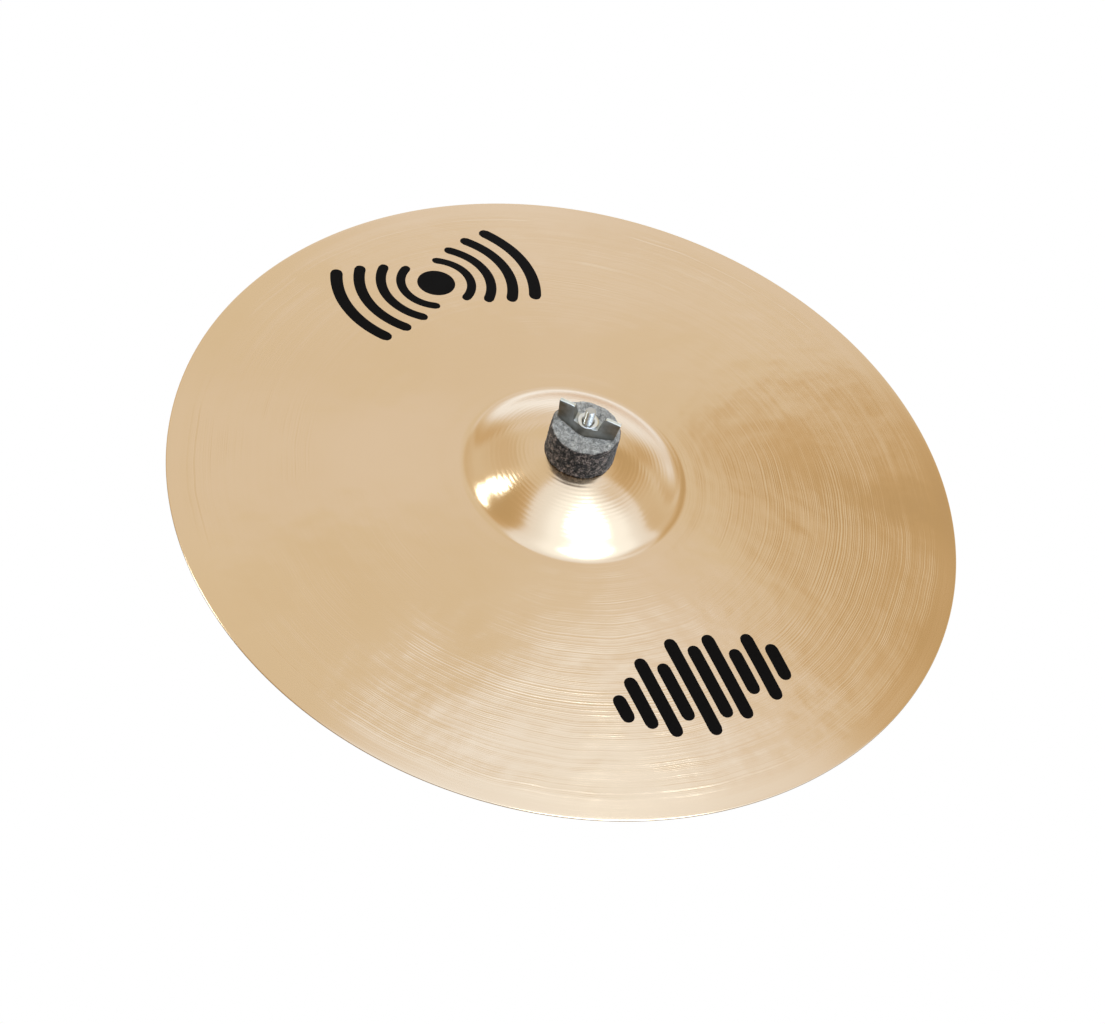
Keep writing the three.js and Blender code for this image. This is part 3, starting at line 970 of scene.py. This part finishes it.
def floor():
    """A wide floor that glows: white to the camera, and in mirrors grey below the cymbal and pale far off."""
    mesh = bpy.data.meshes.new("floor")
    h, z = FLOOR_HALF, -FLOOR_DROP
    mesh.from_pydata([(-h, -h, z), (h, -h, z), (h, h, z), (-h, h, z)], [], [(0, 1, 2, 3)])
    obj = bpy.data.objects.new("floor", mesh)
    bpy.context.scene.collection.objects.link(obj)
    material = bpy.data.materials.new("white_floor")
    material.use_nodes = True
    tree = material.node_tree
    tree.nodes.clear()
    away, _ = plan_radius(tree)
    fade = map_range(tree, away, FLOOR_FADE_START / MM, FLOOR_FADE_END / MM)
    reflected = colour_ramp(tree, fade, [(0, FLOOR_BELOW), (1, FLOOR_AWAY)])
    path = node(tree, "ShaderNodeLightPath")
    shown = colour_mix(tree, path.outputs["Is Camera Ray"], reflected, WHITE)
    glow = node(tree, "ShaderNodeEmission")
    tree.links.new(shown, glow.inputs["Color"])
    out = node(tree, "ShaderNodeOutputMaterial")
    tree.links.new(glow.outputs[0], out.inputs["Surface"])
    mesh.materials.append(material)


floor()

# ---------------------------------------------------------------- studio
# The level of the light the cymbal mirrors, by the x of its direction: over the far side and the near side.
FAR_LEVELS = [
    (-1, 0.82), (-0.78, 0.81), (-0.66, 0.77), (-0.56, 0.75), (-0.46, 0.83), (-0.3, 0.86), (-0.12, 0.87),
    (0.0, 0.85), (0.15, 0.82), (0.22, 0.78), (0.29, 0.70), (0.40, 0.62), (0.5, 0.70), (0.62, 0.79),
    (0.8, 0.77), (1, 0.8),
]
NEAR_LEVELS = [(-1, 0.70), (-0.5, 0.63), (-0.3, 0.80), (0.0, 0.86), (0.4, 0.90), (1, 0.80)]
# What the soft bands low on the far side, and the dark low near side, add to it.
HORIZON_AMOUNT = 0.07
DEEPER_AMOUNT = 0.19
BAND_AMOUNT = -0.10
NEAR_LOW_AMOUNT = -0.5

KEY_DIRECTION = (0.315, -0.17, 0.93)
SIDE_DIRECTION = (-0.67, 0.13, 0.73)
HALO_DIRECTION = (0.36, -0.24, 0.90)
# Round patches of light or shade: direction, inner and outer angle in degrees, and the amount.
PATCHES = (
    (HALO_DIRECTION, 39.5, 44.5, 0.21),
    (HALO_DIRECTION, 14, 34, 0.2),
    ((-0.19, 0.39, 0.90), 2, 14, -0.05),
    ((0.225, 0.785, 0.577), 1, 8, -0.13),
    ((-0.24, 0.80, 0.55), 1, 13, -0.03),
    ((0.27, 0.50, 0.82), 2, 14, 0.08),
)
# The colour for each level times RAMP_SCALE: warm where it is low, cool where it is high.
RAMP_SCALE = 0.8
LEVEL_COLOURS = [
    (0.0, (0.02, 0.02, 0.02)), (0.28, (0.30, 0.29, 0.27)), (0.496, (0.62, 0.50, 0.30)),
    (0.56, (0.70, 0.57, 0.36)), (0.624, (0.78, 0.71, 0.56)), (0.664, (0.834, 0.81, 0.70)),
    (0.704, (0.88, 0.88, 0.88)), (0.84, (1.04, 1.19, 1.42)), (0.95, (1.25, 1.5, 1.85)),
]


def float_curve(tree, value, points):
    """A smooth curve through (value, result) points, for values from -1 to 1 and results from 0 to 2."""
    made = node(tree, "ShaderNodeFloatCurve")
    curve = made.mapping.curves[0]
    placed = [((v + 1) / 2, result / 2) for v, result in points]
    curve.points[0].location = placed[0]
    curve.points[1].location = placed[-1]
    for p in placed[1:-1]:
        curve.points.new(*p)
    made.mapping.update()
    feed(tree, made.inputs["Value"], map_range(tree, value, -1, 1, 0, 1, "LINEAR"))
    return times(tree, made.outputs[0], 2.0)


def near_direction(tree, vector, direction, inner, outer):
    """1 within inner degrees of a direction, falling to 0 at outer degrees."""
    dot = node(tree, "ShaderNodeVectorMath", operation="DOT_PRODUCT")
    tree.links.new(vector, dot.inputs[0])
    dot.inputs[1].default_value = Vector(direction).normalized()
    low, high = math.cos(math.radians(outer)), math.cos(math.radians(inner))
    return map_range(tree, dot.outputs["Value"], low, high)


def light_level(tree):
    """How light the surroundings are in each direction, as the cymbal mirrors them."""
    vector = node(tree, "ShaderNodeTexCoord").outputs["Generated"]
    split = node(tree, "ShaderNodeSeparateXYZ")
    tree.links.new(vector, split.inputs[0])
    x, y, z = split.outputs
    mix = node(tree, "ShaderNodeMix", data_type="FLOAT")
    tree.links.new(map_range(tree, y, 0.32, 0.05), mix.inputs["Factor"])
    tree.links.new(float_curve(tree, x, FAR_LEVELS), mix.inputs["A"])
    tree.links.new(float_curve(tree, x, NEAR_LEVELS), mix.inputs["B"])
    far = map_range(tree, y, 0.3, 0.6)
    ends = times(tree, map_range(tree, x, -0.75, -0.42, 0.15, 1.0), map_range(tree, x, 0.5, 0.7, 1.0, 0.2))
    right = map_range(tree, x, 0.15, 0.3, 1.0, 1.7)
    horizon = times(tree, map_range(tree, z, 0.49, 0.40), far, ends, right)
    deeper = times(tree, map_range(tree, z, 0.35, 0.05), far, ends)
    band_height = times(tree, map_range(tree, z, 0.38, 0.31), map_range(tree, z, 0.03, 0.14))
    band = times(tree, band_height, map_range(tree, y, 0.5, 0.7))
    near_low = times(tree, map_range(tree, y, -0.35, -0.6), map_range(tree, z, 0.55, 0.3))
    parts = [(horizon, HORIZON_AMOUNT), (deeper, DEEPER_AMOUNT)]
    parts += [(band, BAND_AMOUNT), (near_low, NEAR_LOW_AMOUNT)]
    for direction, inner, outer, amount in PATCHES:
        parts.append((near_direction(tree, vector, direction, inner, outer), amount))
    return plus(tree, mix.outputs["Result"], *[times(tree, part, amount) for part, amount in parts])


def studio():
    """Plain white to the camera, and graded surroundings to everything that mirrors them."""
    world = bpy.data.worlds.new("studio")
    bpy.context.scene.world = world
    world.use_nodes = True
    tree = world.node_tree
    tree.nodes.clear()
    mirrored = node(tree, "ShaderNodeBackground")
    colour = colour_ramp(tree, times(tree, light_level(tree), RAMP_SCALE), LEVEL_COLOURS)
    tree.links.new(colour, mirrored.inputs["Color"])
    plain = node(tree, "ShaderNodeBackground")
    plain.inputs["Color"].default_value = WHITE
    path = node(tree, "ShaderNodeLightPath")
    choose = node(tree, "ShaderNodeMixShader")
    out = node(tree, "ShaderNodeOutputWorld")
    tree.links.new(path.outputs["Is Camera Ray"], choose.inputs[0])
    tree.links.new(mirrored.outputs[0], choose.inputs[1])
    tree.links.new(plain.outputs[0], choose.inputs[2])
    tree.links.new(choose.outputs[0], out.inputs["Surface"])


COOL_WHITE = (0.74, 0.90, 1.0)
AIM_HEIGHT = 36.0


def softbox(name, direction, distance, width, height, radiance, target):
    """A rectangular lamp that faces the target. radiance is what a mirror shows of it."""
    lamp = bpy.data.lights.new(name, "AREA")
    lamp.shape = "RECTANGLE"
    lamp.size, lamp.size_y = width, height
    lamp.energy = radiance * math.pi * width * height
    obj = bpy.data.objects.new(name, lamp)
    obj.location = Vector(target) + Vector(direction).normalized() * distance
    obj.rotation_euler = Vector(direction).to_track_quat("Z", "Y").to_euler()
    obj.visible_camera = False
    lamp.color = COOL_WHITE
    bpy.context.scene.collection.objects.link(obj)


studio()
bell_z = (rim_z + AIM_HEIGHT) * MM
softbox(
    "key_softbox", KEY_DIRECTION, distance=1.6, width=0.62, height=0.62,
    radiance=6.0, target=(0.013, -0.043, bell_z),
)
softbox(
    "side_softbox", SIDE_DIRECTION, distance=1.8, width=0.28, height=0.46,
    radiance=7.0, target=(-0.042, -0.029, bell_z),
)

# ---------------------------------------------------------------- camera
# Solved from the rim's outline for a chosen distance. RIGHT and UP shift the aim off the rim's centre.
CAMERA_DISTANCE = 4.5
CAMERA_ELEVATION = math.radians(47.985)
CAMERA_ROLL = math.radians(16.557)
CAMERA_LENS = 258.05
CAMERA_RIGHT, CAMERA_UP = -6.34, -4.96


def camera():
    """Looks at the cymbal from the front and above, rolled, with the rim's centre a little off the middle."""
    data = bpy.data.cameras.new("camera")
    data.lens = CAMERA_LENS
    data.sensor_width = 36
    data.clip_start, data.clip_end = 0.1, 200
    obj = bpy.data.objects.new("camera", data)
    bpy.context.scene.collection.objects.link(obj)
    back = Vector((0, -math.cos(CAMERA_ELEVATION), math.sin(CAMERA_ELEVATION)))
    level = Vector((1, 0, 0))
    upright = back.cross(level)
    right = level * math.cos(CAMERA_ROLL) + upright * math.sin(CAMERA_ROLL)
    up = upright * math.cos(CAMERA_ROLL) - level * math.sin(CAMERA_ROLL)
    place = Vector((0, 0, rim_z)) + right * CAMERA_RIGHT + up * CAMERA_UP
    turn = Matrix((right, up, back)).transposed().to_4x4()
    obj.matrix_world = Matrix.Translation(place * MM + back * CAMERA_DISTANCE) @ turn
    bpy.context.scene.camera = obj


camera()
view = bpy.context.scene.view_settings
view.view_transform = "Standard"
view.look = "None"
